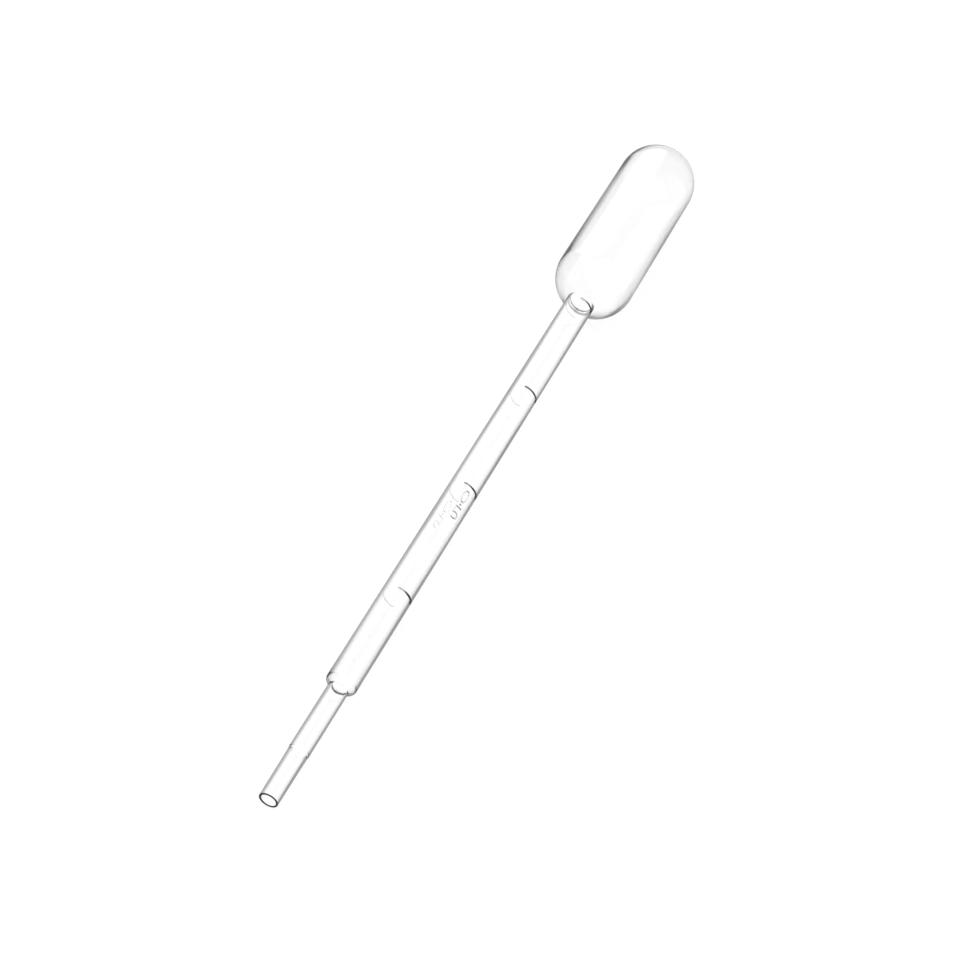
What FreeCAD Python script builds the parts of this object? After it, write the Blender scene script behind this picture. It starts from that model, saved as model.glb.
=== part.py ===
"""A clear plastic dropper pipette, blow-moulded in one piece, lying on its side.

The pipette is drawn standing on its tip: the open tip end is at height 0 and the closed bulb is on top.
Angles about its axis start at the middle of one mould half, where each graduation line has its middle too.
The finished piece is then laid down, so that it rests on its bulb and on the rim of its tip.
Row frame: +X runs from the tip towards the bulb, +Z is up, and the origin is under the middle of the piece.
"""

import FreeCAD, Part
import math
import os
import Sketcher

# alias: (number in millimetres or degrees, what it measures)
SIZES = {
    "tip_radius": (1.365, "outside of the tip at its open end"),
    "tip_wall": (0.28, "wall at the open end"),
    "lower_tip_length": (8.1, "open end to the small step, and the length of the straight tip bore"),
    "step_radius": (1.43, "outside of the lower tip where it meets the small step"),
    "step_run": (0.3, "length of the small step along the axis"),
    "upper_tip_radius": (1.5, "outside of the upper tip tube"),
    "upper_tip_wall": (0.32, "wall of the upper tip tube"),
    "upper_tip_length": (11.2, "small step to the foot of the shoulder"),
    "shoulder_rise": (45, "slope of the shoulder, in degrees from a flat step"),
    "shoulder_round": (0.7, "outer rounding between the shoulder and the stem"),
    "shoulder_bore_round": (0.4, "inner rounding between the shoulder and the stem"),
    "stem_radius": (2.265, "outside of the stem"),
    "stem_wall": (0.35, "wall of the stem and of the shoulder"),
    "neck_round": (0.15, "outer fillet between the stem and the bulb"),
    "neck_bore_round": (0.6, "inner rounding between the stem and the bulb"),
    "bulb_radius": (6.415, "outside of the bulb and of its domes"),
    "bulb_wall": (0.25, "wall of the bulb"),
    "bulb_straight": (26.1, "straight wall between the two domes"),
    "first_mark": (17.5, "foot of the shoulder to the first graduation line"),
    "mark_pitch": (21.6, "one graduation line to the next, which is 0.25 mL of the stem"),
    "mark_count": (4, "graduation lines along the stem"),
    "mark_arc": (103, "degrees round the stem that one graduation line covers"),
    "last_mark": (1.28, "last graduation line to the end of the straight stem"),
    "mark_width": (0.35, "width of a graduation line at its foot"),
    "relief": (0.06, "how far the lines and figures stand out of the stem"),
    "relief_root": (0.15, "how deep the lines and figures are rooted in the wall"),
    "figure_turn": (-19, "degrees from the middle of a line to the middle of the figures"),
    "figure_drop": (0.9, "second graduation line to the top of the upper figure"),
    "figure_height": (2.4, "height of one figure"),
    "figure_width": (1.2, "width of one figure"),
    "figure_stroke": (0.25, "width of the figures' strokes"),
    "figure_crown": (3.2, "radius of the figures' faces, which are flatter than the stem"),
    "figure_gap": (0.9, "space between the two figures, which holds the point"),
    "point_radius": (0.2, "radius of the point between the figures"),
    "bowl_radius": (0.68, "outside radius of the bowl of the 5"),
    "bowl_sweep": (285, "degrees that the bowl of the 5 turns through"),
    "wall_turn": (14, "degrees from the middle of a line to the plane that the wall is drawn on"),
    "rest_roll": (61, "degrees from straight up to the middle of a line, when lying"),
}
MOULD_HALVES = 2
X_AXIS, Y_AXIS = range(-1, -3, -1)  # a sketch's own axes, as its constraints number them
START, END, CENTRE = range(1, 4)  # the points of a line or an arc, as constraints number them
UP = FreeCAD.Vector(0, 0, 1)
BOWL_START = -140  # degrees, the lower end of the bowl of the 5
FIRST_MARK = "sizes.lower_tip_length + sizes.step_run + sizes.upper_tip_length + sizes.first_mark"
MARKS_LENGTH = "sizes.mark_pitch * (sizes.mark_count - 1)"
STEM_END = f"{FIRST_MARK} + {MARKS_LENGTH} + sizes.last_mark"
FIGURE_REACH = "sizes.stem_radius + 2 * sizes.relief"  # the figures' rods pass right through the stem's skin
FIGURES_TOP = "-sizes.figure_drop"  # height of the figures' top, counted from the second line
OUTLINE = ("lower", "step", "upper", "shoulder", "corner", "stem", "neck", "dome", "bulb", "top")


def make_sheet(doc):
    sheet = doc.addObject("Spreadsheet::Sheet", "sizes")
    for row, (alias, (number, meaning)) in enumerate(SIZES.items(), start=1):
        sheet.set(f"A{row}", meaning)
        sheet.set(f"B{row}", str(number))
        sheet.setAlias(f"B{row}", alias)
    doc.recompute()
    return sheet


def read_sizes(sheet):
    """The sheet's numbers, and the heights that follow from them."""
    at = {alias: float(sheet.get(alias)) for alias in SIZES}
    at["step_end"] = at["lower_tip_length"] + at["step_run"]
    at["shoulder_foot"] = at["step_end"] + at["upper_tip_length"]
    at["mark_height"] = at["shoulder_foot"] + at["first_mark"]
    at["marks_length"] = at["mark_pitch"] * (at["mark_count"] - 1)
    at["stem_end"] = at["mark_height"] + at["marks_length"] + at["last_mark"]
    neck = at["neck_round"]
    at["dome_height"] = at["stem_end"] + leg(at["bulb_radius"] + neck, at["stem_radius"] + neck)
    return at


def leg(hypotenuse, other):
    return math.sqrt(hypotenuse**2 - other**2)


def origin_part(body, role):
    return next(part for part in body.Origin.OriginFeatures if part.Role == role)


def new_sketch(body, name, turn="0"):
    """A sketch on an upright plane through the body's axis: x is the radius and y is the height."""
    sketch = body.newObject("Sketcher::SketchObject", name)
    sketch.AttachmentSupport = [(origin_part(body, "XZ_Plane"), "")]
    sketch.MapMode = "FlatFace"
    sketch.AttachmentOffset.Rotation.Axis = FreeCAD.Vector(0, 1, 0)
    sketch.setExpression("AttachmentOffset.Rotation.Angle", turn)
    return sketch


def line(x1, y1, x2, y2):
    return Part.LineSegment(FreeCAD.Vector(x1, y1, 0), FreeCAD.Vector(x2, y2, 0))


def arc(x, y, radius, start_angle, end_angle):
    circle = Part.Circle(FreeCAD.Vector(x, y, 0), UP, radius)
    return Part.ArcOfCircle(circle, start_angle, end_angle)


def tie(sketch, rule, value, *constraint):
    """Adds a constraint of this value now, which follows a rule on the sheet's cells from here on."""
    index = sketch.addConstraint(Sketcher.Constraint(*constraint, value))
    sketch.setExpression(f"Constraints[{index}]", rule)


def tie_size(sketch, at, alias, *constraint):
    tie(sketch, f"sizes.{alias}", at[alias], *constraint)


def outline_curves(at, tip, step, upper, stem, bulb, corner_round, neck_round):
    """One side of the wall as lines and arcs, from the open end to the bulb's top, in OUTLINE's order."""
    rise = math.radians(at["shoulder_rise"])
    corner_height = at["shoulder_foot"] + (stem - upper) * math.tan(rise)
    reach = corner_round * math.tan((math.pi / 2 - rise) / 2)
    shoulder_x = stem - reach * math.cos(rise)
    shoulder_y = corner_height - reach * math.sin(rise)
    neck_x = stem + neck_round
    neck_depth = leg(bulb + neck_round, neck_x)
    neck_y = at["dome_height"] - neck_depth
    neck_angle = math.atan2(neck_depth, -neck_x)
    bulb_end = at["dome_height"] + at["bulb_straight"]
    return [
        line(tip, 0, step, at["lower_tip_length"]),
        line(step, at["lower_tip_length"], upper, at["step_end"]),
        line(upper, at["step_end"], upper, at["shoulder_foot"]),
        line(upper, at["shoulder_foot"], shoulder_x, shoulder_y),
        arc(stem - corner_round, corner_height + reach, corner_round, rise - math.pi / 2, 0),
        line(stem, corner_height + reach, stem, neck_y),
        arc(neck_x, neck_y, neck_round, neck_angle, math.pi),
        arc(0, at["dome_height"], bulb, neck_angle - math.pi, 0),
        line(bulb, at["dome_height"], bulb, bulb_end),
        arc(0, bulb_end, bulb, 0, math.pi / 2),
    ]


def draw_outline(sketch, *shape):
    """Draws one side of the wall, joins its curves end to end and returns each curve's number by name."""
    curve = dict(zip(OUTLINE, sketch.addGeometry(outline_curves(*shape))))
    for first, second in (("lower", "step"), ("step", "upper"), ("upper", "shoulder")):
        sketch.addConstraint(Sketcher.Constraint("Coincident", curve[first], END, curve[second], START))
    for first, end, second, start in (
        ("shoulder", END, "corner", START),
        ("corner", END, "stem", START),
        ("stem", END, "neck", END),
        ("neck", START, "dome", START),
        ("dome", END, "bulb", START),
        ("bulb", END, "top", START),
    ):
        sketch.addConstraint(Sketcher.Constraint("Tangent", curve[first], end, curve[second], start))
    for name in ("upper", "stem", "bulb"):
        sketch.addConstraint(Sketcher.Constraint("Vertical", curve[name]))
    sketch.addConstraint(Sketcher.Constraint("PointOnObject", curve["lower"], START, X_AXIS))
    sketch.addConstraint(Sketcher.Constraint("PointOnObject", curve["top"], END, Y_AXIS))
    return curve


def size_outer(sketch, at, outer):
    sketch.addConstraint(Sketcher.Constraint("PointOnObject", outer["dome"], CENTRE, Y_AXIS))
    sketch.addConstraint(Sketcher.Constraint("PointOnObject", outer["top"], CENTRE, Y_AXIS))
    tie_size(sketch, at, "tip_radius", "DistanceX", outer["lower"], START)
    tie_size(sketch, at, "step_radius", "DistanceX", outer["lower"], END)
    tie_size(sketch, at, "lower_tip_length", "DistanceY", outer["lower"], END)
    tie_size(sketch, at, "step_run", "DistanceY", outer["step"], START, outer["step"], END)
    tie_size(sketch, at, "upper_tip_radius", "DistanceX", outer["upper"], START)
    tie_size(sketch, at, "upper_tip_length", "DistanceY", outer["upper"], START, outer["upper"], END)
    tie(sketch, "sizes.shoulder_rise * 1 deg", math.radians(at["shoulder_rise"]), "Angle", outer["shoulder"])
    tie_size(sketch, at, "shoulder_round", "Radius", outer["corner"])
    tie_size(sketch, at, "stem_radius", "DistanceX", outer["stem"], START)
    tie(sketch, STEM_END, at["stem_end"], "DistanceY", outer["stem"], END)
    tie_size(sketch, at, "neck_round", "Radius", outer["neck"])
    tie_size(sketch, at, "bulb_radius", "DistanceX", outer["bulb"], START)
    tie_size(sketch, at, "bulb_straight", "DistanceY", outer["bulb"], START, outer["bulb"], END)


def size_inner(sketch, at, inner, outer):
    """The inner side of the wall takes its place from the outer side and the wall thicknesses."""
    sketch.addConstraint(Sketcher.Constraint("Vertical", inner["lower"]))
    sketch.addConstraint(Sketcher.Constraint("Horizontal", inner["lower"], END, outer["lower"], END))
    sketch.addConstraint(Sketcher.Constraint("Horizontal", inner["step"], END, outer["step"], END))
    sketch.addConstraint(Sketcher.Constraint("Parallel", inner["shoulder"], outer["shoulder"]))
    sketch.addConstraint(Sketcher.Constraint("Coincident", inner["dome"], CENTRE, outer["dome"], CENTRE))
    sketch.addConstraint(Sketcher.Constraint("Coincident", inner["top"], CENTRE, outer["top"], CENTRE))
    tie_size(sketch, at, "tip_wall", "DistanceX", inner["lower"], START, outer["lower"], START)
    tie_size(sketch, at, "upper_tip_wall", "DistanceX", inner["upper"], START, outer["upper"], START)
    tie_size(sketch, at, "stem_wall", "Distance", outer["shoulder"], START, inner["shoulder"])
    tie_size(sketch, at, "shoulder_bore_round", "Radius", inner["corner"])
    tie_size(sketch, at, "stem_wall", "DistanceX", inner["stem"], START, outer["stem"], START)
    tie_size(sketch, at, "neck_bore_round", "Radius", inner["neck"])
    tie_size(sketch, at, "bulb_wall", "DistanceX", inner["bulb"], START, outer["bulb"], START)


def close_outline(sketch, outer, inner, name, end):
    """Joins the two sides of the wall with a straight line at one end."""
    ends = [sketch.getPoint(side[name], end) for side in (outer, inner)]
    edge = sketch.addGeometry(line(ends[0].x, ends[0].y, ends[1].x, ends[1].y))
    sketch.addConstraint(Sketcher.Constraint("Coincident", edge, START, outer[name], end))
    sketch.addConstraint(Sketcher.Constraint("Coincident", edge, END, inner[name], end))


def blow_wall(body, at):
    """The hollow wall of the whole pipette: its section, turned about the axis."""
    sketch = new_sketch(body, "wall_section", "sizes.wall_turn")
    stem_bore = at["stem_radius"] - at["stem_wall"]
    bulb_bore = at["bulb_radius"] - at["bulb_wall"]
    upper_bore = at["upper_tip_radius"] - at["upper_tip_wall"]
    tip_bore = at["tip_radius"] - at["tip_wall"]
    outer = draw_outline(
        sketch, at, at["tip_radius"], at["step_radius"], at["upper_tip_radius"], at["stem_radius"],
        at["bulb_radius"], at["shoulder_round"], at["neck_round"],
    )
    inner = draw_outline(
        sketch, at, tip_bore, tip_bore, upper_bore, stem_bore,
        bulb_bore, at["shoulder_bore_round"], at["neck_bore_round"],
    )
    close_outline(sketch, outer, inner, "lower", START)
    close_outline(sketch, outer, inner, "top", END)
    size_outer(sketch, at, outer)
    size_inner(sketch, at, inner, outer)
    wall = body.newObject("PartDesign::Revolution", "blown_wall")
    wall.Profile = sketch
    wall.ReferenceAxis = (sketch, ["V_Axis"])
    wall.Angle = 360
    sketch.Visibility = False
    return wall


def raise_marks(body, at):
    """Low ridges round part of the stem, the same on both mould halves and one pitch apart."""
    sketch = new_sketch(body, "mark_section")
    root, foot = at["stem_radius"] - at["relief_root"], at["stem_radius"]
    low, high = (at["mark_height"] + side * at["mark_width"] / 2 for side in (-1, 1))
    corners = [
        (root, high),
        (root, low),
        (foot, low),
        (foot + at["relief"], at["mark_height"]),
        (foot, high),
    ]
    following = corners[1:] + corners[:1]
    sides = sketch.addGeometry([line(*here, *there) for here, there in zip(corners, following)])
    for side, next_side in zip(sides, sides[1:] + sides[:1]):
        sketch.addConstraint(Sketcher.Constraint("Coincident", side, END, next_side, START))
    inside, below, slope, other_slope, above = sides
    sketch.addConstraint(Sketcher.Constraint("Vertical", inside))
    sketch.addConstraint(Sketcher.Constraint("Horizontal", below))
    sketch.addConstraint(Sketcher.Constraint("Horizontal", above))
    sketch.addConstraint(Sketcher.Constraint("Equal", slope, other_slope))
    tie_size(sketch, at, "mark_width", "DistanceY", inside, END, inside, START)
    tie_size(sketch, at, "relief_root", "DistanceX", below, START, below, END)
    tie_size(sketch, at, "stem_radius", "DistanceX", slope, START)
    tie_size(sketch, at, "relief", "DistanceX", slope, START, slope, END)
    tie(sketch, FIRST_MARK, at["mark_height"], "DistanceY", slope, END)
    ridge = body.newObject("PartDesign::Revolution", "mark")
    ridge.Profile = sketch
    ridge.ReferenceAxis = (sketch, ["V_Axis"])
    ridge.Midplane = True
    ridge.setExpression("Angle", "sizes.mark_arc")
    sketch.Visibility = False
    repeat_marks(body, sketch, ridge)


def repeat_marks(body, sketch, ridge):
    along = body.newObject("PartDesign::LinearPattern", "marks_along_stem")
    along.Direction = (sketch, ["V_Axis"])
    along.setExpression("Length", MARKS_LENGTH)
    along.setExpression("Occurrences", "sizes.mark_count")
    round_stem = body.newObject("PartDesign::PolarPattern", "marks_on_both_halves")
    round_stem.Axis = (sketch, ["V_Axis"])
    round_stem.Angle = 360
    round_stem.Occurrences = MOULD_HALVES
    marks = body.newObject("PartDesign::MultiTransform", "marks")
    marks.Originals = [ridge]
    marks.Transformations = [along, round_stem]
    body.Tip = marks


def bound(doc, kind, name, **expressions):
    """A Part object whose properties follow the sheet. A double underscore in a name stands for a dot."""
    made = doc.addObject(kind, name)
    for prop, expression in expressions.items():
        made.setExpression(prop.replace("__", "."), expression)
    return made


def combine(doc, kind, name, **links):
    """A Part boolean of other objects."""
    made = doc.addObject(kind, name)
    for prop, value in links.items():
        setattr(made, prop, value)
    return made


def figure_rod(doc, name, radius, height=FIGURE_REACH, **more):
    return bound(doc, "Part::Cylinder", name, Radius=radius, Height=height, **more)


def figure_bar(doc, name, length, width, x, y):
    return bound(
        doc, "Part::Box", name, Length=length, Width=width, Height=FIGURE_REACH,
        Placement__Base__x=x, Placement__Base__y=y,
    )


def zero(doc, side):
    """The 0: an upright oval ring, its top at FIGURES_TOP."""
    centre = f"{FIGURES_TOP} - sizes.figure_height / 2"
    ovals = []
    for edge, inset in (("outer", "0"), ("inner", "sizes.figure_stroke")):
        oval = bound(
            doc, "Part::Ellipse", f"zero_{edge}_{side}",
            MajorRadius=f"sizes.figure_height / 2 - {inset}",
            MinorRadius=f"sizes.figure_width / 2 - {inset}",
            Placement__Base__y=centre,
        )
        oval.Placement.Rotation = FreeCAD.Rotation(UP, 90)
        rod = combine(doc, "Part::Extrusion", f"zero_{edge}_rod_{side}", Base=oval, Dir=UP, Solid=True)
        rod.setExpression("LengthFwd", FIGURE_REACH)
        ovals.append(rod)
    return combine(doc, "Part::Cut", f"zero_{side}", Base=ovals[0], Tool=ovals[1])


def point(doc, side):
    centre = f"{FIGURES_TOP} - sizes.figure_height - sizes.figure_gap / 2"
    return figure_rod(doc, f"point_{side}", "sizes.point_radius", Placement__Base__y=centre)


def five(doc, side):
    """The 5: a bar, an upright at its left end and a round bowl, open at the left."""
    top = f"{FIGURES_TOP} - sizes.figure_height - sizes.figure_gap"
    left = "-sizes.figure_width / 2"
    bowl_centre = f"{top} - sizes.figure_height + sizes.bowl_radius"
    bar = figure_bar(
        doc, f"five_bar_{side}", "sizes.figure_width", "sizes.figure_stroke",
        left, f"{top} - sizes.figure_stroke",
    )
    upright = figure_bar(
        doc, f"five_upright_{side}", "sizes.figure_stroke",
        "sizes.figure_height - sizes.bowl_radius * 3 / 2",
        left, f"{bowl_centre} + sizes.bowl_radius / 2",
    )
    rim = figure_rod(
        doc, f"five_rim_{side}", "sizes.bowl_radius",
        Angle="sizes.bowl_sweep", Placement__Base__y=bowl_centre,
    )
    rim.Placement.Rotation = FreeCAD.Rotation(UP, BOWL_START)
    hollow = figure_rod(
        doc, f"five_hollow_{side}", "sizes.bowl_radius - sizes.figure_stroke", Placement__Base__y=bowl_centre
    )
    bowl = combine(doc, "Part::Cut", f"five_bowl_{side}", Base=rim, Tool=hollow)
    return combine(doc, "Part::MultiFuse", f"five_{side}", Shapes=[bar, upright, bowl])


def figure_skin(doc, side):
    """The skin that the figures are trimmed to: its face stands out, and its back is in the stem's wall."""
    length = "2 * sizes.figure_height + sizes.figure_gap + 2 * sizes.figure_drop"
    foot = f"{FIRST_MARK} + sizes.mark_pitch - ({length})"
    face = figure_rod(
        doc, f"figure_face_{side}", "sizes.figure_crown", height=length,
        Placement__Base__x="sizes.stem_radius + sizes.relief - sizes.figure_crown",
        Placement__Base__z=foot,
    )
    back = figure_rod(
        doc, f"figure_back_{side}", "sizes.stem_radius - sizes.relief_root", height=length,
        Placement__Base__z=foot,
    )
    return combine(doc, "Part::Cut", f"figure_skin_{side}", Base=face, Tool=back)


def raise_figures(doc, side):
    """The figures 0.5 of one mould half, below the second line: flat rods trimmed to the skin."""
    rods = combine(
        doc, "Part::MultiFuse", f"figure_rods_{side}",
        Shapes=[zero(doc, side), point(doc, side), five(doc, side)],
    )
    rods.Placement.Rotation = FreeCAD.Rotation(FreeCAD.Vector(1, 1, 1), 120)
    rods.setExpression("Placement.Base.z", f"{FIRST_MARK} + sizes.mark_pitch")
    figures = combine(doc, "Part::Common", f"figures_{side}", Base=rods, Tool=figure_skin(doc, side))
    figures.Placement.Rotation.Axis = UP
    figures.setExpression("Placement.Rotation.Angle", f"sizes.figure_turn + {360 * side / MOULD_HALVES}")
    return figures


def lie_down(at):
    """Where the pipette comes to rest: on its lower dome and on the rim of its tip, figures towards -Y."""
    reach = math.hypot(at["dome_height"], at["tip_radius"])
    tilt = math.asin(at["bulb_radius"] / reach) - math.atan2(at["tip_radius"], at["dome_height"])
    roll = math.radians(at["rest_roll"])
    axis = FreeCAD.Vector(math.cos(tilt), 0, math.sin(tilt))
    above = FreeCAD.Vector(-math.sin(tilt), 0, math.cos(tilt))
    lines_middle = above * math.cos(roll) - FreeCAD.Vector(0, 1, 0) * math.sin(roll)
    turned = FreeCAD.Rotation(lines_middle, axis.cross(lines_middle), axis, "ZXY")
    tip_edge = -at["tip_radius"] * math.sin(tilt)
    bulb_edge = (at["dome_height"] + at["bulb_straight"]) * math.cos(tilt) + at["bulb_radius"]
    base = FreeCAD.Vector(-(tip_edge + bulb_edge) / 2, 0, at["tip_radius"] * math.cos(tilt))
    return FreeCAD.Placement(base, turned)


def check(doc, subparts):
    """Stops if anything in the document failed or a sub-part isn't one sound solid."""
    failed = [o.Label for o in doc.Objects if "Invalid" in o.State or "Error" in o.State]
    unsound = [o.Label for o in subparts if o.Shape.isNull() or not o.Shape.isValid()]
    split = [o.Label for o in subparts if len(o.Shape.Solids) != 1]
    if failed or unsound or split:
        raise RuntimeError(f"failed: {failed}, not valid: {unsound}, not one solid: {split}")


def main():
    doc = FreeCAD.newDocument("dropper_pipette")
    at = read_sizes(make_sheet(doc))
    body = doc.addObject("PartDesign::Body", "stem_and_bulb")
    blow_wall(body, at)
    raise_marks(body, at)
    figures = [raise_figures(doc, side) for side in range(MOULD_HALVES)]
    pipette = combine(doc, "Part::MultiFuse", "whole_pipette", Shapes=[body, *figures], Refine=True)
    pipette.Label = "pipette"
    pipette.Placement = lie_down(at)
    doc.recompute()
    subparts = [pipette]
    check(doc, subparts)
    os.makedirs("parts", exist_ok=True)
    for subpart in subparts:
        subpart.Shape.exportStep(f"parts/{subpart.Label}.step")
    print(f"volume {pipette.Shape.Volume:.1f} mm3, box {pipette.Shape.optimalBoundingBox()}")


main()
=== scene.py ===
"""A clear dropper pipette of blow-moulded polyethylene, lying on a white table under soft studio light.

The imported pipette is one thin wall. Here the same wall is built again with a finer skin: a rounded rim,
graduation lines with rounded ends, moulded figures, and the unevenness and slow waves of blown plastic.
"""

import math

import bpy
import numpy as np
from mathutils import Matrix, Vector


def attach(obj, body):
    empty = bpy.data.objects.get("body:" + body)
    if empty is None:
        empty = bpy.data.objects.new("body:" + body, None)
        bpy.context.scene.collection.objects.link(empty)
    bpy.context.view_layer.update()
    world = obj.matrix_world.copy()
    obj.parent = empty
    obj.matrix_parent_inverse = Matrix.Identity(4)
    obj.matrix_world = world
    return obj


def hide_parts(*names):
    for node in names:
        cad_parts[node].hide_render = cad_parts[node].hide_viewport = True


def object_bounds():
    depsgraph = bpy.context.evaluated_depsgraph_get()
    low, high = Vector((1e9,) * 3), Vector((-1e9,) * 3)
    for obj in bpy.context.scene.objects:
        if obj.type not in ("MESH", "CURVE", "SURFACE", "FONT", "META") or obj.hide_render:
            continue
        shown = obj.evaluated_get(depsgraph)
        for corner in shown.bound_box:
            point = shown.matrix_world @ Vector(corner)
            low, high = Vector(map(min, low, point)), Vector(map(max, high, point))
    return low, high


MM = 0.001

# The wall, in millimetres. Heights are counted from the open end of the tip, along the axis.
TIP_RADIUS, TIP_WALL = 1.365, 0.28
LOWER_TIP_LENGTH = 8.1
STEP_RADIUS, STEP_RUN = 1.43, 0.3
UPPER_TIP_RADIUS, UPPER_TIP_WALL = 1.5, 0.32
UPPER_TIP_LENGTH = 11.2
SHOULDER_RISE = math.radians(45)
SHOULDER_ROUND, SHOULDER_BORE_ROUND = 0.7, 0.4
STEM_RADIUS, STEM_WALL = 2.265, 0.35
NECK_ROUND, NECK_BORE_ROUND = 0.15, 0.6
BULB_RADIUS, BULB_WALL, BULB_STRAIGHT = 6.415, 0.25, 26.1
BULB_INSET = 0.012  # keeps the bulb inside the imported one, which has flat facets
RIM_ROUND = 0.05
REST_ROLL = math.radians(61)

# The graduation lines and the figures 0.5 under the second one, on both halves of the mould.
FIRST_MARK, MARK_PITCH, MARK_COUNT, LAST_MARK = 17.5, 21.6, 4, 1.28
MARK_HALF_ARC, MARK_HALF_WIDTH = math.radians(51.5), 0.185
RELIEF, FLANK = 0.05, 0.06
RUN_OUT = 0.3  # each line runs out to nothing over this angle at one end
BACK_DROP = 0.19  # the back half's lines stand this much lower
FIGURE_TURN = math.radians(-19)
FIGURE_DROP, FIGURE_HEIGHT, FIGURE_WIDTH = 0.9, 2.4, 1.2
FIGURE_STROKE, FIGURE_GAP, FIGURE_FLANK = 0.25, 0.9, 0.09
POINT_RADIUS = 0.2
BOWL_RADIUS, BOWL_START, BOWL_SWEEP = 0.68, math.radians(-140), math.radians(285)
FIGURE_SPAN = math.pi / 3  # no figure reaches further round than this

STEP_END = LOWER_TIP_LENGTH + STEP_RUN
SHOULDER_FOOT = STEP_END + UPPER_TIP_LENGTH
MARKS = [SHOULDER_FOOT + FIRST_MARK + MARK_PITCH * i for i in range(MARK_COUNT)]
FIGURE_TOP = MARKS[1] - FIGURE_DROP
STEM_END = MARKS[-1] + LAST_MARK
DOME_HEIGHT = STEM_END + math.sqrt((BULB_RADIUS + NECK_ROUND) ** 2 - (STEM_RADIUS + NECK_ROUND) ** 2)
BULB_END = DOME_HEIGHT + BULB_STRAIGHT
HALVES = (0, math.pi)  # the middle of each half of the mould, as an angle round the stem

# The rows of vertices, in millimetres: the stem has finer ones at its two ends, its lines and its figures.
COLLAR_LENGTH, THROAT_LENGTH = 3, 2
RELIEF_STEPS = [0.06, 0.12, 0.135, 0.15, 0.165, 0.185, 0.21, 0.24, 0.32]
FIGURE_MARGIN, FIGURE_ROWS = 0.15, 90
CLOSEST_ROWS, CLOSEST_COLUMNS = 0.008, math.radians(0.3)

# How the blown wall's thickness varies, in millimetres.
PARTING = MARK_HALF_ARC  # where it is thinnest along the stem
NECK_THICKENING, NECK_PINCH, PINCH_LENGTH = 0.05, 0.11, 1.0
STEM_UNEVEN, LOWER_UNEVEN, UPPER_UNEVEN = 0.03, -0.14, 0.07
LOWER_PLACE, LOWER_REACH = DOME_HEIGHT - 2, 3
UPPER_PLACE, UPPER_REACH = BULB_END + 3, 4
OUTER_WAVE, OUTER_SEED = 0.004, 11
INNER_WAVE, INNER_SEED = 0.02, 5
WAVE_COUNT, SHORTEST_WAVE, LONGEST_WAVE = 7, 9, 40
CALM_TIP, CALM_TOP, CALM_REACH = 4, BULB_END + 3, 12  # the waves die out towards both ends

# Painted shade on the lines, figures and rim, from 0, none, to 1, black. Each pair says where round the stem
# a change starts, and its reach.
# painted shade: the open end's rim is black
RIM_PAINTED_SHADE, RIM_SHADE_HEIGHT, RIM_SHADE_EDGE = 1.0, 0.12, 0.04
LINE_UNSHADED = [0.5, 0.3, 0.08, 0.6]  # of each line where it starts, in front
FRONT_SHADE_GROWS = math.radians(-34), math.radians(24)
BACK_UNSHADED, BACK_LOSS, BACK_GAIN = 0.94, 0.22, 0.1
BACK_SHADE_GROWS = math.radians(-28), math.radians(10)
BACK_SHADE_EASES = 0, math.radians(12)
SHADE_SPREAD = 0.05
SPREADS = math.radians(-20), 0.5
CROSSWISE_SHARE = 0.7  # of a figure's painted shade, the share that only strokes across the stem have

# The lit table as it is seen, in metres from the pipette's middle, and as the plastic reflects it: there it
# has painted shade near the pipette, lighter on one side.
SEEN_WHITE, SEEN_NEAR, SEEN_FAR = 0.7, 0.2, 0.6
REFLECTED_SHADE_LEVEL, PAINTED_SIDE_LEAN = 0.435, 0.13
SIDE_REACH, LEAN_LENGTH = 0.018, 0.071
RIGHT_NEAR, RIGHT_FAR = -0.004, -0.032
LEFT_NEAR, LEFT_FAR = 0.008, 0.17
PAST_BULB, PAST_SLOPE = 0.066, 0.8

# The plastic's faint streaks, and its specks.
STREAK_LOW, STREAK_HIGH = 0.3, 0.7
SMOOTHEST, ROUGHEST = 0.012, 0.03
DULLEST, CLEAREST = 0.992, 0.999
SPECK_EDGE, SPECK_CORE, SPECK_DARKNESS, SPECK_CHOICE = 0.045, 0.03, 0.75, 0.6

# The camera, in millimetres.
CAMERA_TURN, CAMERA_PITCH = math.radians(-65.5575), math.radians(43.829)
CAMERA_DISTANCE, CAMERA_SHIFT = 318.862, 0.0732
CAMERA_LENS, CAMERA_SENSOR = 81.645, 36
AIM_OFFSET = (-6.027, -0.161, -5.919)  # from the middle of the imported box


def run(start, end, count):
    """Points of a straight run, without its end."""
    share = np.arange(count)[:, None] / count
    return np.array(start) + share * (np.array(end) - np.array(start))


def held(start, end, count, hold=0.03):
    """A straight run with a row close to each end, which keeps the shading of its corners tight."""
    start, end = np.array(start), np.array(end)
    step = (end - start) / np.linalg.norm(end - start) * hold
    return np.concatenate([[start], run(start + step, end - step, count), [end - step]])


def bend(centre, radius, start, end, count):
    """Points of an arc, without its end. Angles in radians."""
    angle = start + np.arange(count) / count * (end - start)
    return np.array(centre) + radius * np.stack([np.cos(angle), np.sin(angle)], 1)


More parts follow.
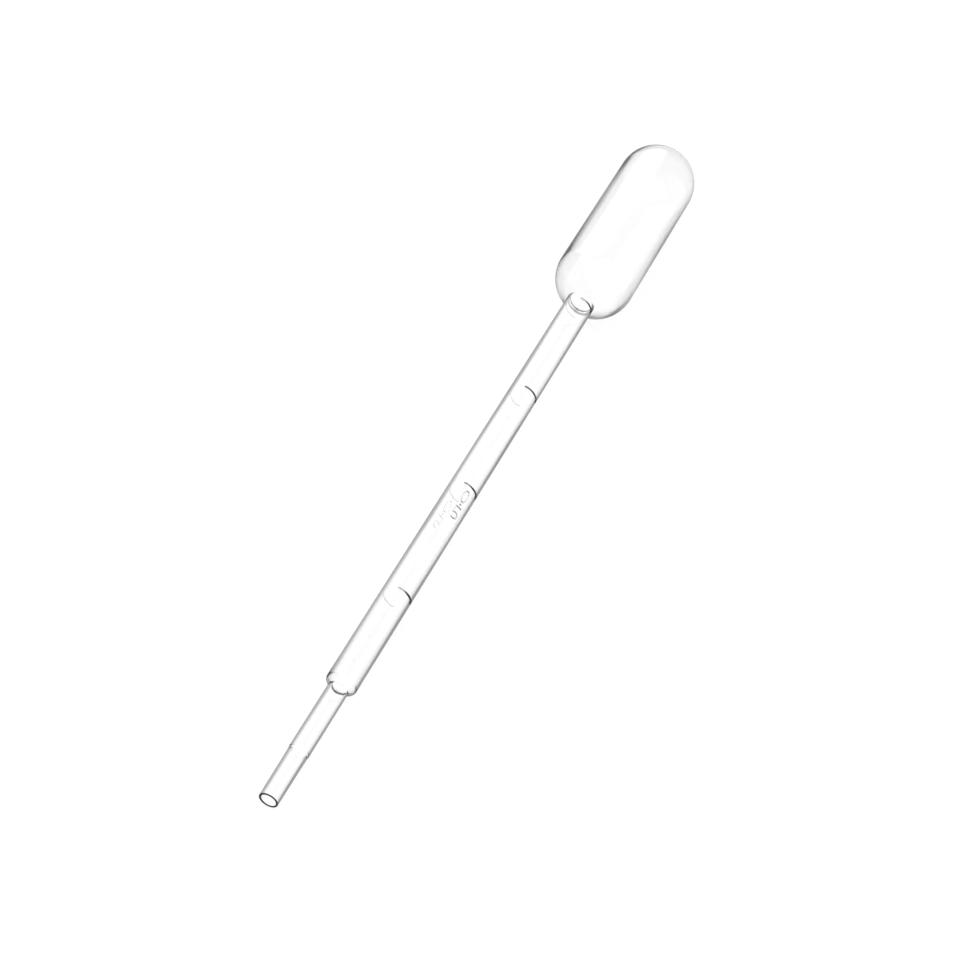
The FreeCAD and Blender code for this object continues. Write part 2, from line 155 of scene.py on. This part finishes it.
def side_of_wall(tip, step, upper, upper_end, stem, bulb, corner_round, neck_round, dome, rows):
    """One side of the wall as (radius, height) points, from the tip to the top of the bulb."""
    corner_height = upper_end + (stem - upper) * math.tan(SHOULDER_RISE)
    reach = corner_round * math.tan((math.pi / 2 - SHOULDER_RISE) / 2)
    slope_end = (
        stem - reach * math.cos(SHOULDER_RISE),
        corner_height - reach * math.sin(SHOULDER_RISE),
    )
    corner_top = corner_height + reach
    collar_top, throat_foot = corner_top + COLLAR_LENGTH, STEM_END - THROAT_LENGTH
    neck_x = stem + neck_round
    neck_depth = math.sqrt((bulb + neck_round) ** 2 - neck_x**2)
    neck_y = dome - neck_depth
    neck_angle = math.atan2(neck_depth, -neck_x)
    return np.concatenate([
        run((tip, RIM_ROUND), (tip, 2 * RIM_SHADE_HEIGHT), rows["rim"]),
        held((tip, 2 * RIM_SHADE_HEIGHT), (step, LOWER_TIP_LENGTH), rows["tip"]),
        held((step, LOWER_TIP_LENGTH), (upper, STEP_END), rows["small"]),
        held((upper, STEP_END), (upper, upper_end), rows["tip"]),
        held((upper, upper_end), slope_end, rows["small"]),
        bend((stem - corner_round, corner_top), corner_round, SHOULDER_RISE - math.pi / 2, 0, rows["round"]),
        run((stem, corner_top), (stem, collar_top), rows["collar"]),
        run((stem, collar_top), (stem, throat_foot), rows["stem"]),
        run((stem, throat_foot), (stem, neck_y), rows["neck"]),
        bend((neck_x, neck_y), neck_round, math.pi, neck_angle, rows["round"]),
        bend((0, dome), bulb, neck_angle - math.pi, 0, rows["dome"]),
        run((bulb, dome), (bulb, BULB_END), rows["bulb"]),
        bend((0, BULB_END), bulb, 0, math.pi / 2, rows["dome"]),
    ])


def relief_rows():
    """Extra heights along the stem, close together where lines and figures stand."""
    heights = [mark + side * step for mark in MARKS for side in (-1, 1) for step in RELIEF_STEPS]
    heights += MARKS
    heights += [mark - BACK_DROP - step for mark in MARKS for step in RELIEF_STEPS]
    top = FIGURE_TOP + FIGURE_MARGIN
    bottom = top - (2 * FIGURE_HEIGHT + FIGURE_GAP + 2 * FIGURE_MARGIN)
    heights += list(np.linspace(bottom, top, FIGURE_ROWS))
    return [(STEM_RADIUS, height) for height in heights if height < STEM_END]


def outer_side():
    """The outside of the wall, with rows for its relief."""
    rows = {
        "rim": 8, "tip": 4, "small": 3, "round": 8, "collar": 2,
        "stem": 14, "neck": 4, "dome": 26, "bulb": 10,
    }
    points = side_of_wall(
        TIP_RADIUS, STEP_RADIUS, UPPER_TIP_RADIUS, SHOULDER_FOOT, STEM_RADIUS, BULB_RADIUS - BULB_INSET,
        SHOULDER_ROUND, NECK_ROUND, DOME_HEIGHT, rows,
    )
    points = np.concatenate([points, relief_rows()])
    points = points[np.argsort(points[:, 1], kind="stable")]
    apart = np.hypot(*np.diff(points, axis=0).T) > CLOSEST_ROWS
    return points[np.concatenate([[True], apart])]


def inner_side():
    """The inside of the wall."""
    rows = {
        "rim": 8, "tip": 3, "small": 2, "round": 6, "collar": 10,
        "stem": 14, "neck": 18, "dome": 18, "bulb": 6,
    }
    rise = STEM_WALL - UPPER_TIP_WALL * math.sin(SHOULDER_RISE)
    return side_of_wall(
        TIP_RADIUS - TIP_WALL, TIP_RADIUS - TIP_WALL, UPPER_TIP_RADIUS - UPPER_TIP_WALL,
        SHOULDER_FOOT + rise / math.cos(SHOULDER_RISE), STEM_RADIUS - STEM_WALL, BULB_RADIUS - BULB_WALL,
        SHOULDER_BORE_ROUND, NECK_BORE_ROUND, DOME_HEIGHT + NECK_THICKENING, rows,
    )


def columns():
    """Angles round the wall, closer together where lines end and figures stand."""
    angles = list(np.radians(np.arange(0, 360, 3)))
    near_line_end = np.radians(np.arange(-4.9, 5, 0.7))
    near_figure = np.radians(np.arange(-18, 18.5, 1.2))
    for half in HALVES:
        for end in (-MARK_HALF_ARC, MARK_HALF_ARC):
            angles += list(end + half + near_line_end)
        angles += list(FIGURE_TURN + half + near_figure)
    angles = np.sort(np.mod(np.array(angles), 2 * math.pi))
    keep = np.concatenate([[True], np.diff(angles) > CLOSEST_COLUMNS])
    return angles[keep]


def smooth(share):
    """A soft step: 0 below 0, 1 above 1."""
    share = np.clip(share, 0, 1)
    return share * share * (3 - 2 * share)


def change(angle, place):
    """A soft step round the stem, from where it starts over its reach."""
    start, reach = place
    return smooth((angle - start) / reach)


def turn_from(angle, middle):
    """The angle from a middle, between minus and plus half a turn."""
    return np.mod(angle - middle + math.pi, 2 * math.pi) - math.pi


def mark_shape(angle, height, wider=0):
    """How much a point belongs to a graduation line: 1 on its crest, 0 off it."""
    shape = np.zeros(np.broadcast(angle, height).shape)
    for half, drop in zip(HALVES, (0, BACK_DROP)):
        nearest = np.min(np.abs(height[..., None] - np.array(MARKS) + drop), axis=-1)
        past_end = np.maximum(np.abs(turn_from(angle, half)) - MARK_HALF_ARC, -1) * STEM_RADIUS
        distance = np.hypot(np.maximum(past_end + MARK_HALF_WIDTH, 0), nearest)
        shape = np.maximum(shape, smooth((MARK_HALF_WIDTH + wider - distance) / FLANK))
    return shape


def line_depth(angle):
    """How deep the mould cut the lines, which run out to nothing at one end."""
    depth = np.zeros_like(angle)
    for half in HALVES:
        turn = turn_from(angle, half)
        inside = smooth((MARK_HALF_ARC - turn) / RUN_OUT)
        depth = np.maximum(depth, np.where(np.abs(turn) < math.pi / 2, inside, 0))
    return depth


def box_distance(x, y, left, right, low, high):
    """Distance from a box, counted along x or y alone; negative inside it."""
    dx = np.maximum(left - x, x - right)
    dy = np.maximum(low - y, y - high)
    return np.maximum(dx, dy)


def zero_distance(x, y):
    """Distance from the stroke of the 0, an oval whose top is at y 0."""
    half_height, half_width, half_stroke = FIGURE_HEIGHT / 2, FIGURE_WIDTH / 2, FIGURE_STROKE / 2
    oval = np.hypot(x / (half_width - half_stroke), (y + half_height) / (half_height - half_stroke))
    end_reach = 0.3 * half_width
    across = np.where(np.abs(x) > end_reach, half_width, half_height) - half_stroke
    return np.abs(oval - 1) * across - half_stroke


def five_distance(x, y):
    """Distance from the strokes of the 5, whose top is at y 0: a bar, an upright and an open bowl."""
    half_width, half_stroke = FIGURE_WIDTH / 2, FIGURE_STROKE / 2
    bowl_y = BOWL_RADIUS - FIGURE_HEIGHT
    bar = box_distance(x, y, -half_width, half_width, -FIGURE_STROKE, 0)
    upright = box_distance(x, y, -half_width, FIGURE_STROKE - half_width, bowl_y + BOWL_RADIUS / 2, 0)
    bowl = np.abs(np.hypot(x, y - bowl_y) - BOWL_RADIUS + half_stroke) - half_stroke
    swept = np.mod(np.arctan2(y - bowl_y, x) - BOWL_START, 2 * math.pi)
    bowl = np.where(swept < BOWL_SWEEP, bowl, 1)
    return np.minimum.reduce([bar, upright, bowl])


def figure_distance(x, y):
    """Distance from the strokes of the figures 0.5, whose top is at y 0; negative inside a stroke."""
    point = np.hypot(x, y + FIGURE_HEIGHT + FIGURE_GAP / 2) - POINT_RADIUS
    five = five_distance(x, y + FIGURE_HEIGHT + FIGURE_GAP)
    return np.minimum.reduce([zero_distance(x, y), point, five])


def figure_shape(angle, height):
    """How much a point belongs to a figure: 1 on its crest, 0 off it."""
    shape = np.zeros(np.broadcast(angle, height).shape)
    for half in HALVES:
        turn = turn_from(angle, FIGURE_TURN + half)
        distance = figure_distance(STEM_RADIUS * np.sin(turn), height - FIGURE_TOP)
        inside = smooth(0.5 - distance / FIGURE_FLANK)
        shape = np.maximum(shape, np.where(np.abs(turn) < FIGURE_SPAN, inside, 0))
    return shape


def crosswise(angle, height):
    """How squarely the nearest stroke of a figure lies across the stem: 1 across it, 0 along it."""
    step = 0.05
    share = np.zeros(np.broadcast(angle, height).shape)
    for half in HALVES:
        turn = turn_from(angle, FIGURE_TURN + half)
        x, y = STEM_RADIUS * np.sin(turn), height - FIGURE_TOP
        middle = figure_distance(x, y)
        slopes = [np.abs(figure_distance(x, y + move) - middle) / step for move in (-step, step)]
        slope = np.clip(np.maximum(*slopes), 0, 1)
        share = np.maximum(share, np.where(np.abs(turn) < FIGURE_SPAN, slope, 0))
    return share


def painted_darkness(angle, height):
    """How dark the painted shade on the relief is: the front turns black along each line, and the back stays
    nearly clear.
    """
    turn, back_turn = turn_from(angle, 0), turn_from(angle, math.pi)
    front = np.interp(height, MARKS, LINE_UNSHADED) * (1 - change(turn, FRONT_SHADE_GROWS))
    back = BACK_UNSHADED - BACK_LOSS * change(back_turn, BACK_SHADE_GROWS)
    back = back + BACK_GAIN * change(back_turn, BACK_SHADE_EASES)
    return 1 - np.where(np.abs(turn) < math.pi / 2, front, back) ** 2


def relief_painted_shade(angle, height):
    """The painted shade of the lines and figures. The front lines' spreads past their crests at one end."""
    turn = turn_from(angle, 0)
    wider = np.where(np.abs(turn) < math.pi / 2, SHADE_SPREAD * change(turn, SPREADS), 0)
    figures = figure_shape(angle, height)
    figures = figures * (1 - CROSSWISE_SHARE + CROSSWISE_SHARE * crosswise(angle, height))
    return painted_darkness(angle, height) * np.maximum(mark_shape(angle, height, wider), figures)


def waves(angle, height, seed, size):
    """Slow waves of the blown wall, the same each run."""
    rng = np.random.default_rng(seed)
    total = np.zeros(np.broadcast(angle, height).shape)
    for _ in range(WAVE_COUNT):
        length = rng.uniform(SHORTEST_WAVE, LONGEST_WAVE)
        turns = rng.integers(1, 4)
        phase, spin = rng.uniform(0, 2 * math.pi, 2)
        total += np.sin(height * 2 * math.pi / length + phase) * np.cos(turns * angle + spin)
    return total * size / math.sqrt(WAVE_COUNT)


def uneven(height):
    """How much thinner than usual the wall is at one parting line, and how much thicker it is opposite."""
    lower = np.exp(-(((height - LOWER_PLACE) / LOWER_REACH) ** 2))
    upper = np.exp(-(((height - UPPER_PLACE) / UPPER_REACH) ** 2))
    return STEM_UNEVEN + LOWER_UNEVEN * lower + UPPER_UNEVEN * upper


def pinch(height):
    """How much thicker the wall is just past the neck."""
    return NECK_PINCH * np.exp(-(((height - STEM_END) / PINCH_LENGTH - 1) ** 2))


def skin(points, angles, outside):
    """A ring of vertices round the axis for each (radius, height) point: radius, height and painted shade.
    """
    angle, height = angles[None, :], points[:, 1][:, None]
    radius = np.repeat(points[:, 0][:, None], len(angles), 1)
    if outside:
        marks = mark_shape(angle, height) * line_depth(angle)
        radius = radius + RELIEF * np.maximum(marks, figure_shape(angle, height))
        # painted shade on the lines and figures: black on the front half, nearly none on the back
        painted_shade = relief_painted_shade(angle, height)
        size, seed = OUTER_WAVE, OUTER_SEED
    else:
        radius = radius + uneven(height) * np.cos(angle - PARTING) - pinch(height)
        painted_shade = np.zeros_like(radius)
        size, seed = INNER_WAVE, INNER_SEED
    # painted shade: black at the open end's rim
    painted_shade = np.maximum(painted_shade, RIM_PAINTED_SHADE * smooth((RIM_SHADE_HEIGHT - height) / RIM_SHADE_EDGE))
    ends = smooth(height / CALM_TIP) * smooth((CALM_TOP - height) / CALM_REACH)
    radius = radius - (waves(angle, height, seed, size) + size) * ends
    return radius, np.repeat(height, len(angles), 1), painted_shade


def rim_rings(angles):
    """The rounded rim of the open end, from the bore to the outside: radius, height and painted shade."""
    steps = np.radians([60, 30, 0])
    rise = RIM_ROUND - RIM_ROUND * np.cos(steps)
    inset = RIM_ROUND - RIM_ROUND * np.sin(steps)
    radius = np.concatenate([TIP_RADIUS - TIP_WALL + inset, (TIP_RADIUS - inset)[::-1]])
    height = np.concatenate([rise, rise[::-1]])
    rings = [radius, height, np.full(len(radius), RIM_PAINTED_SHADE)]
    return [np.repeat(ring[:, None], len(angles), 1) for ring in rings]


def resting_frame():
    """Where the pipette lies: the tip's middle, and the directions of its axis and of the lines' middle."""
    reach = math.hypot(DOME_HEIGHT, TIP_RADIUS)
    tilt = math.asin(BULB_RADIUS / reach) - math.atan2(TIP_RADIUS, DOME_HEIGHT)
    axis = Vector((math.cos(tilt), 0, math.sin(tilt)))
    above = Vector((-math.sin(tilt), 0, math.cos(tilt)))
    middle = above * math.cos(REST_ROLL) - Vector((0, 1, 0)) * math.sin(REST_ROLL)
    tip_edge = -TIP_RADIUS * math.sin(tilt)
    bulb_edge = BULB_END * math.cos(tilt) + BULB_RADIUS
    base = Vector((-(tip_edge + bulb_edge) / 2, 0, TIP_RADIUS * math.cos(tilt)))
    return base, axis, middle, axis.cross(middle)


def wall_faces(rings, around):
    """Quads between neighbouring rings, and a fan of triangles on the dome's top, inside and outside."""
    ring, column = np.meshgrid(np.arange(rings - 1), np.arange(around), indexing="ij")
    here = ring * around + column
    beside = ring * around + (column + 1) % around
    quads = np.stack([here, beside, beside + around, here + around], -1).reshape(-1, 4)
    inner_top, outer_top = rings * around, rings * around + 1
    last = (rings - 1) * around
    edges = [(i, (i + 1) % around) for i in range(around)]
    caps = [(inner_top, second, first) for first, second in edges]
    caps += [(outer_top, first + last, second + last) for first, second in edges]
    return quads.tolist() + caps


def build_wall():
    """The wall as one closed mesh: down the inside from the closed dome, round the rim, up the outside."""
    angles = columns()
    outer = skin(outer_side(), angles, True)
    inner = skin(inner_side(), angles, False)
    parts = zip(inner, rim_rings(angles), outer)
    radius, height, painted_shade = [np.concatenate([inside[::-1], rim, outside]) for inside, rim, outside in parts]
    base, axis, middle, side = (np.array(v) for v in resting_frame())
    turned = np.cos(angles)[:, None] * middle + np.sin(angles)[:, None] * side
    points = base + height[..., None] * axis + radius[..., None] * turned[None]
    tops = [base + axis * (BULB_END + BULB_RADIUS - depth) for depth in (BULB_WALL, BULB_INSET)]
    points = np.concatenate([points.reshape(-1, 3), tops]) * MM
    mesh = bpy.data.meshes.new("pipette_wall")
    mesh.from_pydata(points.tolist(), [], wall_faces(len(radius), len(angles)))
    mesh.polygons.foreach_set("use_smooth", [True] * len(mesh.polygons))
    # the painted shade is kept on the mesh, and the plastic's colour reads it
    attribute = mesh.attributes.new("painted_shade", "FLOAT", "POINT")
    attribute.data.foreach_set("value", np.concatenate([painted_shade.ravel(), [0, 0]]).astype(np.float32))
    mesh.update()
    wall = bpy.data.objects.new("pipette_wall", mesh)
    bpy.context.scene.collection.objects.link(wall)
    return wall


def math_node(tree, operation, first, second):
    """A Math node of two inputs, each a number or another node's output."""
    node = tree.nodes.new("ShaderNodeMath")
    node.operation = operation
    for socket, value in zip(node.inputs, (first, second)):
        if isinstance(value, (int, float)):
            socket.default_value = value
        else:
            tree.links.new(value, socket)
    return node.outputs[0]


def map_range(tree, value, low, high, to_low, to_high):
    """A Map Range node, which keeps to its range."""
    node = tree.nodes.new("ShaderNodeMapRange")
    for name, number in zip(("From Min", "From Max", "To Min", "To Max"), (low, high, to_low, to_high)):
        node.inputs[name].default_value = number
    tree.links.new(value, node.inputs["Value"])
    return node.outputs["Result"]


def mix_shaders(tree, share, first, second, surface):
    """Links a mix of two shaders to an output's surface: the second's share is the one given."""
    mix = tree.nodes.new("ShaderNodeMixShader")
    tree.links.new(share, mix.inputs[0])
    tree.links.new(first, mix.inputs[1])
    tree.links.new(second, mix.inputs[2])
    tree.links.new(mix.outputs[0], surface)


def flow_streaks(tree, place):
    """Faint streaks along the pipette, where the plastic flowed before it was blown."""
    stretch = tree.nodes.new("ShaderNodeMapping")
    stretch.inputs["Scale"].default_value = (150, 1500, 1500)
    noise = tree.nodes.new("ShaderNodeTexNoise")
    noise.inputs["Scale"].default_value = 1
    noise.inputs["Detail"].default_value = 3
    tree.links.new(place, stretch.inputs["Vector"])
    tree.links.new(stretch.outputs["Vector"], noise.inputs["Vector"])
    return noise.outputs["Fac"]


def specks(tree, place):
    """A few tiny specks in the plastic."""
    cells = tree.nodes.new("ShaderNodeTexVoronoi")
    cells.inputs["Scale"].default_value = 450
    tree.links.new(place, cells.inputs["Vector"])
    spot = map_range(tree, cells.outputs["Distance"], SPECK_EDGE, SPECK_CORE, 0, SPECK_DARKNESS)
    channels = tree.nodes.new("ShaderNodeSeparateColor")
    tree.links.new(cells.outputs["Color"], channels.inputs["Color"])
    chosen = math_node(tree, "GREATER_THAN", channels.outputs["Red"], SPECK_CHOICE)
    return math_node(tree, "MULTIPLY", spot, chosen)


def plastic_colour(tree, place, streaks):
    """Clear, a touch uneven along the streaks, black where it has a speck, and black as painted shade on the
    lines, figures and rim.
    """
    clearest = tree.nodes.new("ShaderNodeCombineColor")
    level = map_range(tree, streaks, STREAK_LOW, STREAK_HIGH, DULLEST, CLEAREST)
    for channel in ("Red", "Green", "Blue"):
        tree.links.new(level, clearest.inputs[channel])
    painted_shade = tree.nodes.new("ShaderNodeAttribute")
    painted_shade.attribute_name = "painted_shade"
    # black where there is a speck, and painted shade on the lines, figures and rim
    speck_and_painted_shade = math_node(tree, "MAXIMUM", painted_shade.outputs["Fac"], specks(tree, place))
    tint = tree.nodes.new("ShaderNodeMix")
    tint.data_type = "RGBA"
    tree.links.new(speck_and_painted_shade, tint.inputs["Factor"])
    tree.links.new(clearest.outputs["Color"], tint.inputs["A"])
    tint.inputs["B"].default_value = (0, 0, 0, 1)
    return tint.outputs["Result"]


def clear_polyethylene():
    """Glossy clear plastic that bends light, and lets the lamps' light through to the table."""
    material = bpy.data.materials.new("clear_polyethylene")
    material.use_nodes = True
    tree = material.node_tree
    shader = tree.nodes["Principled BSDF"]
    shader.inputs["Transmission Weight"].default_value = 1
    shader.inputs["IOR"].default_value = 1.51
    shader.inputs["Specular IOR Level"].default_value = 0.4
    place = tree.nodes.new("ShaderNodeTexCoord").outputs["Object"]
    streaks = flow_streaks(tree, place)
    roughness = map_range(tree, streaks, STREAK_LOW, STREAK_HIGH, SMOOTHEST, ROUGHEST)
    tree.links.new(roughness, shader.inputs["Roughness"])
    bump = tree.nodes.new("ShaderNodeBump")
    bump.inputs["Strength"].default_value = 0.2
    bump.inputs["Distance"].default_value = 0.00001
    tree.links.new(streaks, bump.inputs["Height"])
    tree.links.new(bump.outputs["Normal"], shader.inputs["Normal"])
    tree.links.new(plastic_colour(tree, place, streaks), shader.inputs["Base Color"])
    clear = tree.nodes.new("ShaderNodeBsdfTransparent")
    clear.inputs["Color"].default_value = (0.96, 0.96, 0.96, 1)
    shadow = tree.nodes.new("ShaderNodeLightPath").outputs["Is Shadow Ray"]
    surface = tree.nodes["Material Output"].inputs["Surface"]
    mix_shaders(tree, shadow, shader.outputs[0], clear.outputs[0], surface)
    return material


def white_share(tree, path, seen_share):
    """How much plain white replaces the lit look.

    It is the given share where the surface is seen straight, all where it is seen through the plastic or in
    a reflection, and none for the light that it gives to other things.
    """
    share = math_node(tree, "MULTIPLY", path.outputs["Is Camera Ray"], seen_share)
    for ray in ("Is Glossy Ray", "Is Transmission Ray"):
        share = math_node(tree, "MAXIMUM", share, path.outputs[ray])
    return share


def seen_white(tree, position):
    """How much of the lit table plain white replaces where it is seen straight: all of it, far away."""
    distance = tree.nodes.new("ShaderNodeVectorMath")
    distance.operation = "LENGTH"
    tree.links.new(position, distance.inputs[0])
    return map_range(tree, distance.outputs["Value"], SEEN_NEAR, SEEN_FAR, SEEN_WHITE, 1)


def near_painted_shade(tree, x, y):
    """The painted shade of the table near the pipette in one reflection: one side is painted lighter than
    the other, most at the tip.
    """
    side = math_node(tree, "MULTIPLY", y, 1 / SIDE_REACH)
    side = math_node(tree, "MAXIMUM", math_node(tree, "MINIMUM", side, 1), -1)
    along = math_node(tree, "SUBTRACT", 1, math_node(tree, "DIVIDE", x, LEAN_LENGTH))
    # painted light on one side of the pipette and painted shade on the other
    lean = math_node(tree, "MULTIPLY", side, along)
    return math_node(tree, "ADD", math_node(tree, "MULTIPLY", lean, PAINTED_SIDE_LEAN), REFLECTED_SHADE_LEVEL)


def far_share(tree, x, y):
    """How far the table's painted shade has faded to full white, away from the pipette: sooner past the
    bulb's end.
    """
    past = math_node(tree, "MAXIMUM", math_node(tree, "SUBTRACT", x, PAST_BULB), 0)
    slant = math_node(tree, "SUBTRACT", y, math_node(tree, "MULTIPLY", past, PAST_SLOPE))
    right = map_range(tree, slant, RIGHT_FAR, RIGHT_NEAR, 1, 0)
    left = map_range(tree, y, LEFT_NEAR, LEFT_FAR, 0, 1)
    return math_node(tree, "MAXIMUM", right, left)


def reflected_painted_level(tree, position):
    """How white the table looks in one reflection: painted shade near the pipette, which darkens its rims.
    """
    place = tree.nodes.new("ShaderNodeSeparateXYZ")
    tree.links.new(position, place.inputs[0])
    x, y = place.outputs["X"], place.outputs["Y"]
    near = near_painted_shade(tree, x, y)
    rest = math_node(tree, "SUBTRACT", 1, near)
    return math_node(tree, "ADD", near, math_node(tree, "MULTIPLY", rest, far_share(tree, x, y)))


def table_white():
    """The table's material: lit and shadowed where it is seen straight, plain white through the plastic, and
    with painted shade near the pipette in the plastic's reflections.
    """
    material = bpy.data.materials.new("white_table")
    material.use_nodes = True
    tree = material.node_tree
    tree.nodes.clear()
    output = tree.nodes.new("ShaderNodeOutputMaterial")
    diffuse = tree.nodes.new("ShaderNodeBsdfDiffuse")
    diffuse.inputs["Color"].default_value = (0.95, 0.95, 0.95, 1)
    position = tree.nodes.new("ShaderNodeNewGeometry").outputs["Position"]
    path = tree.nodes.new("ShaderNodeLightPath")
    glow = tree.nodes.new("ShaderNodeEmission")
    # painted shade: in reflections the table glows dimmer near the pipette, and dimmer again with each
    # reflection
    level = math_node(tree, "POWER", reflected_painted_level(tree, position), path.outputs["Glossy Depth"])
    tree.links.new(level, glow.inputs["Strength"])
    share = white_share(tree, path, seen_white(tree, position))
    mix_shaders(tree, share, diffuse.outputs[0], glow.outputs[0], output.inputs["Surface"])
    return material


def white_floor():
    """A wide white table, just under what lies on it."""
    reach, gap = 2.0, 0.00001
    corners = [(-reach, -reach, 0), (reach, -reach, 0), (reach, reach, 0), (-reach, reach, 0)]
    mesh = bpy.data.meshes.new("table")
    mesh.from_pydata(corners, [], [(0, 1, 2, 3)])
    mesh.materials.append(table_white())
    table = bpy.data.objects.new("table", mesh)
    table.location.z = -gap
    bpy.context.scene.collection.objects.link(table)


def lamp(name, place, size, power):
    """A square soft box aimed at the pipette's middle."""
    light = bpy.data.lights.new(name, "AREA")
    light.shape = "RECTANGLE"
    light.size, light.size_y = size, size
    light.energy = power
    made = bpy.data.objects.new(name, light)
    made.location = place
    made.rotation_mode = "QUATERNION"
    made.rotation_quaternion = (-Vector(place)).to_track_quat("-Z", "Y")
    bpy.context.scene.collection.objects.link(made)


def soft_light():
    """Two large soft boxes in a plain white room."""
    lamp("key", (-0.35, -0.25, 0.7), 1.26, 5)
    lamp("fill", (0.5, 0.3, 0.5), 0.7, 1.5)
    world = bpy.data.worlds.new("studio")
    bpy.context.scene.world = world
    world.use_nodes = True
    tree = world.node_tree
    plain = tree.nodes["Background"]
    plain.inputs["Color"].default_value = (1, 1, 1, 1)
    plain.inputs["Strength"].default_value = 0.7
    white = tree.nodes.new("ShaderNodeBackground")
    white.inputs["Color"].default_value = (1, 1, 1, 1)
    share = white_share(tree, tree.nodes.new("ShaderNodeLightPath"), 1)
    surface = tree.nodes["World Output"].inputs["Surface"]
    mix_shaders(tree, share, plain.outputs[0], white.outputs[0], surface)


def camera(low, high):
    """The camera looks down along the pipette from beyond its tip."""
    aim = (low + high) / 2 + Vector(AIM_OFFSET) * MM
    ahead = Vector((-math.sin(CAMERA_TURN), math.cos(CAMERA_TURN), 0))
    right = Vector((math.cos(CAMERA_TURN), math.sin(CAMERA_TURN), 0))
    forward = ahead * math.cos(CAMERA_PITCH) - Vector((0, 0, 1)) * math.sin(CAMERA_PITCH)
    up = right.cross(forward)
    data = bpy.data.cameras.new("camera")
    data.lens, data.sensor_width = CAMERA_LENS, CAMERA_SENSOR
    data.clip_start, data.clip_end = 0.01, 10
    made = bpy.data.objects.new("camera", data)
    place = aim - forward * CAMERA_DISTANCE * MM + (up - right) * CAMERA_SHIFT * MM
    made.matrix_world = Matrix.Translation(place) @ Matrix((right, up, -forward)).transposed().to_4x4()
    bpy.context.scene.collection.objects.link(made)
    bpy.context.scene.camera = made


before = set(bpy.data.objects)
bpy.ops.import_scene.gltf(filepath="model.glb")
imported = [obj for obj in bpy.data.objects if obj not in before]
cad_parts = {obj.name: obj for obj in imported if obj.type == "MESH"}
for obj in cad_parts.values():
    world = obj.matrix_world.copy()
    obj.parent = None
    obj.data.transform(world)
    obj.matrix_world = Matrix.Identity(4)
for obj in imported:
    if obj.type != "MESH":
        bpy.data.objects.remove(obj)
cad_low, cad_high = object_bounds()
bpy.context.scene.view_settings.view_transform = "Standard"
wall = build_wall()
wall.data.materials.append(clear_polyethylene())
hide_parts("pipette")
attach(wall, "root")
white_floor()
soft_light()
camera(cad_low, cad_high)
